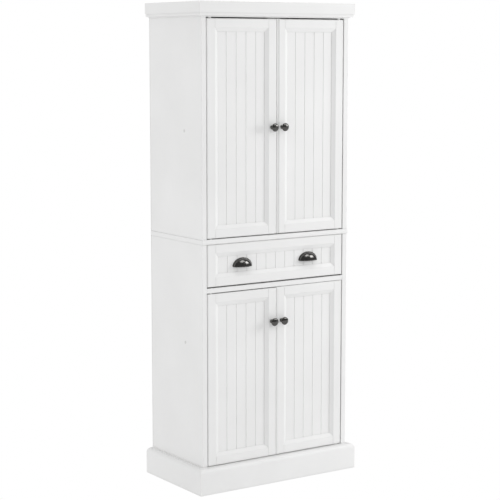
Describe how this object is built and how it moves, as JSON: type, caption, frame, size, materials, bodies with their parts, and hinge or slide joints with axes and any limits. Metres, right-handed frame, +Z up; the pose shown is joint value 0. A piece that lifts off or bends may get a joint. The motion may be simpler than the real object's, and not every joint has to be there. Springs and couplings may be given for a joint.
{
  "type": "pantry cabinet",
  "caption": "Tall white painted pantry cabinet with framed beadboard doors above and below a wide drawer, dark knobs and cup pulls.",
  "frame": {"origin": "on the floor, midway across the width and midway between the back panel's outer face and the tips of the knobs", "axes": "+X to the right seen from the front, the front faces -Y, +Z up"},
  "size_m": [0.724, 0.404, 1.829],
  "materials": {
    "white_paint": "smooth satin white paint on board and solid wood",
    "white_board": "matt white faced thin hardboard",
    "drawer_wood": "clear lacquered pale wood",
    "dark_bronze": "dark oil-rubbed bronze, semi-gloss",
    "zinc_plate": "bright zinc plate",
    "white_plastic": "moulded, fine grain"
  },
  "bodies": {
    "root": {"side_upper_left": "white_paint", "side_upper_right": "white_paint", "side_lower_left": "white_paint", "side_lower_right": "white_paint", "waist_board": "white_paint", "top_panel": "white_paint", "header_rail": "white_paint", "drawer_divider": "white_paint", "bottom_panel": "white_paint", "crown_front": "white_paint", "crown_left": "white_paint", "crown_right": "white_paint", "plinth_front": "white_paint", "plinth_left": "white_paint", "plinth_right": "white_paint", "shelf_upper_fixed": "white_paint", "shelf_upper_loose": "white_paint", "shelf_lower_fixed": "white_paint", "back_panel_upper": "white_board", "back_panel_lower": "white_board", "shelf_peg_left_front": "zinc_plate", "shelf_peg_left_rear": "zinc_plate", "shelf_peg_right_front": "zinc_plate", "shelf_peg_right_rear": "zinc_plate", "magnetic_catch_upper": "white_plastic", "magnetic_catch_lower": "white_plastic", "slide_channel_left": "zinc_plate", "slide_channel_right": "zinc_plate"},
    "door_upper_left": {"door_upper_left_frame": "white_paint", "door_upper_left_panel": "white_paint", "door_upper_left_knob": "dark_bronze", "door_upper_left_pivot_top": "zinc_plate", "door_upper_left_pivot_bottom": "zinc_plate"},
    "door_upper_right": {"door_upper_right_frame": "white_paint", "door_upper_right_panel": "white_paint", "door_upper_right_knob": "dark_bronze", "door_upper_right_pivot_top": "zinc_plate", "door_upper_right_pivot_bottom": "zinc_plate"},
    "door_lower_left": {"door_lower_left_frame": "white_paint", "door_lower_left_panel": "white_paint", "door_lower_left_knob": "dark_bronze", "door_lower_left_pivot_top": "zinc_plate", "door_lower_left_pivot_bottom": "zinc_plate"},
    "door_lower_right": {"door_lower_right_frame": "white_paint", "door_lower_right_panel": "white_paint", "door_lower_right_knob": "dark_bronze", "door_lower_right_pivot_top": "zinc_plate", "door_lower_right_pivot_bottom": "zinc_plate"},
    "drawer": {"drawer_front_frame": "white_paint", "drawer_front_panel": "white_paint", "cup_pull_left": "dark_bronze", "cup_pull_right": "dark_bronze", "drawer_side_left": "drawer_wood", "drawer_side_right": "drawer_wood", "drawer_back": "drawer_wood", "drawer_bottom": "white_board", "slide_rail_left": "zinc_plate", "slide_rail_right": "zinc_plate"}
  },
  "joints": [
    {"name": "door_upper_left_swing", "type": "hinge", "parent": "root", "child": "door_upper_left", "pos_m": [-0.293, -0.162, 0.962], "axis": [0, 0, -1], "range_deg": [0, 120]},
    {"name": "door_upper_right_swing", "type": "hinge", "parent": "root", "child": "door_upper_right", "pos_m": [0.293, -0.162, 0.962], "axis": [0, 0, 1], "range_deg": [0, 120]},
    {"name": "door_lower_left_swing", "type": "hinge", "parent": "root", "child": "door_lower_left", "pos_m": [-0.293, -0.162, 0.0999], "axis": [0, 0, -1], "range_deg": [0, 120]},
    {"name": "door_lower_right_swing", "type": "hinge", "parent": "root", "child": "door_lower_right", "pos_m": [0.293, -0.162, 0.1005], "axis": [0, 0, 1], "range_deg": [0, 120]},
    {"name": "drawer_slide", "type": "slide", "parent": "root", "child": "drawer", "axis": [0, -1, 0], "range_m": [0, 0.24]}
  ]
}
